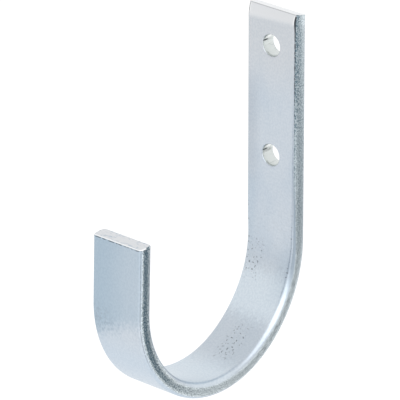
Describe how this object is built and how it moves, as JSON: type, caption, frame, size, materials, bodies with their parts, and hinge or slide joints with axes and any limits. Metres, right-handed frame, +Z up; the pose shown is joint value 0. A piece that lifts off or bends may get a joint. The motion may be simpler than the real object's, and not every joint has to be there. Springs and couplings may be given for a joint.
{
  "type": "wall hook",
  "caption": "J-shaped wall hook bent from rolled flat steel bar, with a straight screw plate behind, a deep round seat and a short upright lip.",
  "frame": {"origin": "on the wall face of the plate, midway between the two screw holes", "axes": "+Z up along the plate, +Y into the wall, -Y into the room towards the lip, +X across the bar to the right as seen along +Y"},
  "size_m": [0.02, 0.0735, 0.1141],
  "materials": {
    "zinc_plated_steel": "bright zinc plating over rolled steel, satin with mottled patches"
  },
  "bodies": {
    "root": {"hook": "zinc_plated_steel"}
  },
  "joints": []
}
